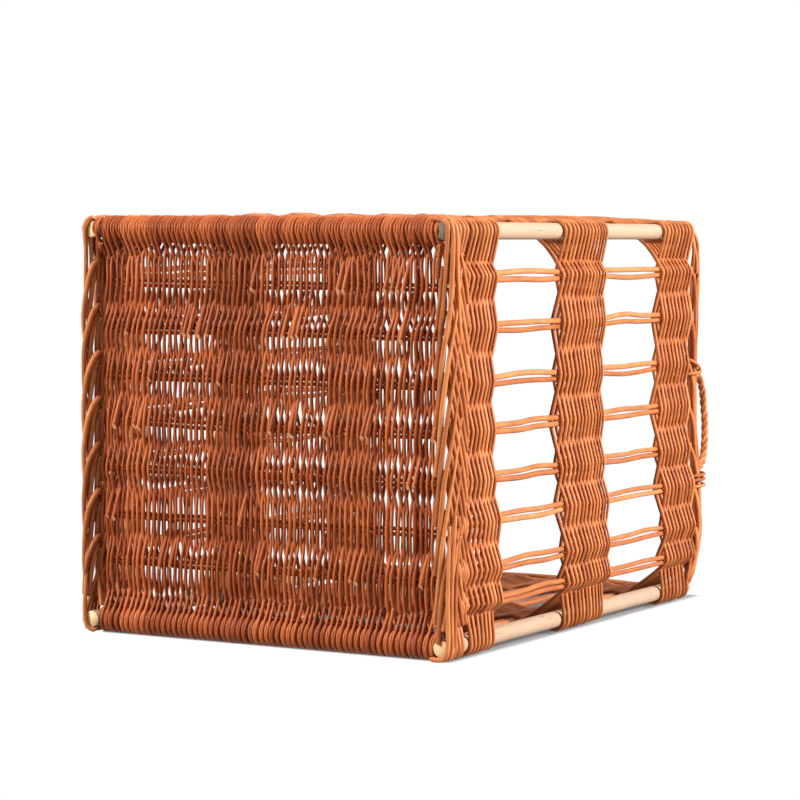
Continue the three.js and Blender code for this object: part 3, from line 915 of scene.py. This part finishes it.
# Width of the fade to white round that part, and the share of white in it
FLOOR_FADE = 0.008
SHADED_WHITE = 0.1
floor_mesh = bpy.data.meshes.new("floor")
corners = [(x * FLOOR_REACH, y * FLOOR_REACH, 0) for x, y in ((-1, -1), (1, -1), (1, 1), (-1, 1))]
floor_mesh.from_pydata(corners, [], [(0, 1, 2, 3)])
floor = bpy.data.objects.new("floor", floor_mesh)
bpy.context.scene.collection.objects.link(floor)
floor_look = bpy.data.materials.new("pale floor")
floor_look.use_nodes = True
tree = floor_look.node_tree
tree.nodes.clear()
matte = node(tree, "ShaderNodeBsdfDiffuse", Color=(0.3, 0.3, 0.3, 1))
glow = node(tree, "ShaderNodeEmission", Color=(1, 1, 1, 1), Strength=1.0)
spot = node(tree, "ShaderNodeTexCoord").outputs["Object"]
outside = node(tree, "ShaderNodeVectorMath", {"operation": "ABSOLUTE"}, Vector=spot).outputs["Vector"]
outside = node(tree, "ShaderNodeVectorMath", {"operation": "SUBTRACT"}, Vector=outside).outputs["Vector"]
tree.nodes[-1].inputs[1].default_value = SHADED_FLOOR
outside = node(tree, "ShaderNodeVectorMath", {"operation": "MAXIMUM"}, Vector=outside).outputs["Vector"]
distance = node(tree, "ShaderNodeVectorMath", {"operation": "LENGTH"}, Vector=outside).outputs["Value"]
bright = node(tree, "ShaderNodeMapRange", Value=distance, From_Max=FLOOR_FADE, To_Min=SHADED_WHITE)
share = math_node(tree, "MULTIPLY", camera_rays(tree), bright.outputs["Result"])
blend = node(tree, "ShaderNodeMixShader", Fac=share)
tree.links.new(matte.outputs["BSDF"], blend.inputs[1])
tree.links.new(glow.outputs["Emission"], blend.inputs[2])
node(tree, "ShaderNodeOutputMaterial", Surface=blend.outputs["Shader"])
floor_mesh.materials.append(floor_look)

world = bpy.data.worlds.new("studio")
bpy.context.scene.world = world
world.use_nodes = True
tree = world.node_tree
tree.nodes.clear()
dim = node(tree, "ShaderNodeBackground", Color=(1, 1, 1, 1), Strength=0.02)
white = node(tree, "ShaderNodeBackground", Color=(1, 1, 1, 1), Strength=1.0)
blend = node(tree, "ShaderNodeMixShader", Fac=camera_rays(tree))
tree.links.new(dim.outputs["Background"], blend.inputs[1])
tree.links.new(white.outputs["Background"], blend.inputs[2])
node(tree, "ShaderNodeOutputWorld", Surface=blend.outputs["Shader"])


def area_light(name, place, target, size, power):
    data = bpy.data.lights.new(name, "AREA")
    data.shape = "DISK"
    data.size = size
    data.energy = power
    lamp = bpy.data.objects.new(name, data)
    lamp.location = place
    lamp.rotation_euler = (Vector(target) - Vector(place)).to_track_quat("-Z", "Y").to_euler()
    bpy.context.scene.collection.objects.link(lamp)


CENTRE = (0, 0, 0.2)
area_light("key", (3.1, 0.45, 1.5), CENTRE, size=0.8, power=264)
area_light("fill", (-2.0, -2.4, 1.6), CENTRE, size=0.8, power=152)
area_light("top", (0.2, -0.9, 3.0), CENTRE, size=1.4, power=48)

azimuth, elevation, roll = (math.radians(a) for a in (CAMERA_AZIMUTH, CAMERA_ELEVATION, CAMERA_ROLL))
flat = math.cos(elevation)
back = Vector((math.sin(azimuth) * flat, -math.cos(azimuth) * flat, math.sin(elevation)))
level = Vector((math.cos(azimuth), math.sin(azimuth), 0))
upright = back.cross(level)
right = level * math.cos(roll) + upright * math.sin(roll)
upright = upright * math.cos(roll) - level * math.sin(roll)
camera_data = bpy.data.cameras.new("camera")
camera_data.lens = CAMERA_LENS
camera_data.sensor_width = CAMERA_SENSOR
camera_data.clip_end = 50
camera = bpy.data.objects.new("camera", camera_data)
place = Vector(CAMERA_PLACE) + Vector((0, foot, low_z))
camera.matrix_world = Matrix.Translation(place * MM) @ Matrix((right, upright, back)).transposed().to_4x4()
bpy.context.scene.collection.objects.link(camera)
bpy.context.scene.camera = camera
bpy.context.scene.view_settings.view_transform = "Standard"
